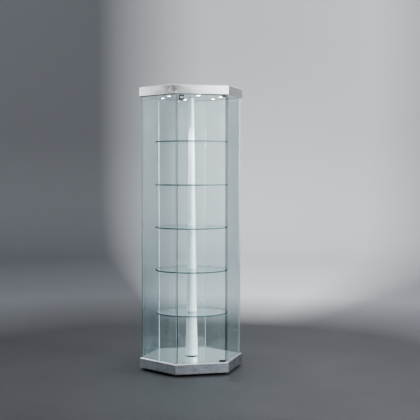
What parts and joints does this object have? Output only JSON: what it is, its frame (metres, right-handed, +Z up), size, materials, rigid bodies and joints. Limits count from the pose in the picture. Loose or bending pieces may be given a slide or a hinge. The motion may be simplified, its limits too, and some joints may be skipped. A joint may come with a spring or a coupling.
{
  "type": "tower display case",
  "caption": "Tall hexagonal glass showcase with silver plinth and cap, mirror floor, downlights, hinged lockable glass door and round glass shelves on a tapered turning column.",
  "frame": {"origin": "on the floor under the centre of the case", "axes": "+Z up; -Y out of the door side; two corners of the hexagon lie on the X axis"},
  "size_m": [0.7506, 0.65, 2],
  "materials": {
    "silver_fascia": "silvered and softly mottled, with bright bevels",
    "silver_sheet": "satin anodised",
    "silver_board": "silver laminate on board, satin",
    "mirror": "polished mirror",
    "clear_glass": "clear polished float glass, green at the edges",
    "shelf_glass": "clear tempered glass with polished green edges",
    "column_satin": "satin polished, faint lengthwise brushing",
    "hardware_dark": "black satin plating",
    "hardware_bright": "bright chrome",
    "hub_dark": "black satin",
    "plain_steel": "zinc plated",
    "magnet": "nickel plated",
    "bush_bronze": "plain sintered bronze",
    "top_bush_silver": "grey acetal",
    "black_rubber": "matt",
    "clear_seal": "clear polycarbonate",
    "clear_strip": "grey silicone",
    "timber_frame": "sanded softwood",
    "plywood": "sanded birch plywood, sealed",
    "fibreboard": "fibreboard",
    "lamp_can": "plain",
    "lamp_lens": "frosted lens",
    "driver_white": "moulded",
    "cable_black": "sheathed cable",
    "foot_black": "moulded foot on a steel screw"
  },
  "bodies": {
    "case": {"base_fascia": "silver_fascia", "base_frame": "timber_frame", "bottom_panel": "plywood", "deck_panel": "fibreboard", "mirror_floor": "mirror", "setting_blocks": "black_rubber", "foot_inserts": "plain_steel", "door_threshold": "silver_sheet", "bearing_housing": "plain_steel", "catch_magnet": "magnet", "fixed_panes": "clear_glass", "glazing_strips": "clear_strip", "door_seal": "clear_seal", "cap_fascia": "silver_fascia", "cap_frame": "timber_frame", "ceiling_panel": "silver_board", "door_header": "silver_sheet", "pivot_bushes": "bush_bronze", "top_lid": "silver_sheet", "lid_screws": "plain_steel", "cable_grommet": "black_rubber", "spot_bezels": "hardware_bright", "spot_housings": "lamp_can", "spot_lenses": "lamp_lens", "led_driver": "driver_white", "lamp_wiring": "cable_black", "column_top_bush": "top_bush_silver"},
    "door": {"door_glass": "clear_glass", "lower_patch": "hardware_dark", "upper_patch": "hardware_dark", "patch_gaskets": "black_rubber", "patch_screws": "plain_steel", "lock_housing": "hardware_dark", "lock_back_plate": "hardware_dark", "catch_clip": "hardware_bright"},
    "lock": {"lock_plug": "hardware_bright", "lock_cam": "plain_steel", "cam_screw": "plain_steel"},
    "carousel": {"spindle": "hub_dark", "bearing_balls": "plain_steel", "column_segment_1": "column_satin", "column_segment_2": "column_satin", "column_segment_3": "column_satin", "column_segment_4": "column_satin", "column_segment_5": "column_satin", "column_segment_6": "column_satin", "shelf_1": "shelf_glass", "shelf_2": "shelf_glass", "shelf_3": "shelf_glass", "shelf_4": "shelf_glass", "shelf_5": "shelf_glass", "shelf_gaskets": "black_rubber", "tie_rod": "plain_steel", "top_spigot": "plain_steel"},
    "foot_1": {"levelling_foot_1": "foot_black"},
    "foot_2": {"levelling_foot_2": "foot_black"},
    "foot_3": {"levelling_foot_3": "foot_black"},
    "foot_4": {"levelling_foot_4": "foot_black"},
    "foot_5": {"levelling_foot_5": "foot_black"},
    "foot_6": {"levelling_foot_6": "foot_black"}
  },
  "joints": [
    {"name": "door_hinge", "type": "hinge", "parent": "case", "child": "door", "pos_m": [0.16, -0.31, 1], "axis": [0, 0, 1], "range_deg": [0, 100]},
    {"name": "lock_turn", "type": "hinge", "parent": "door", "child": "lock", "pos_m": [-0.141, -0.31, 1.9115], "axis": [0, -1, 0], "range_deg": [0, 90]},
    {"name": "column_turn", "type": "hinge", "parent": "case", "child": "carousel", "pos_m": [0, 0, 0.0516], "axis": [0, 0, 1], "continuous": true},
    {"name": "foot_1_screw", "type": "slide", "parent": "case", "child": "foot_1", "axis": [0, 0, -1], "range_m": [0, 0.008]},
    {"name": "foot_2_screw", "type": "slide", "parent": "case", "child": "foot_2", "axis": [0, 0, -1], "range_m": [0, 0.008]},
    {"name": "foot_3_screw", "type": "slide", "parent": "case", "child": "foot_3", "axis": [0, 0, -1], "range_m": [0, 0.008]},
    {"name": "foot_4_screw", "type": "slide", "parent": "case", "child": "foot_4", "axis": [0, 0, -1], "range_m": [0, 0.008]},
    {"name": "foot_5_screw", "type": "slide", "parent": "case", "child": "foot_5", "axis": [0, 0, -1], "range_m": [0, 0.008]},
    {"name": "foot_6_screw", "type": "slide", "parent": "case", "child": "foot_6", "axis": [0, 0, -1], "range_m": [0, 0.008]}
  ]
}
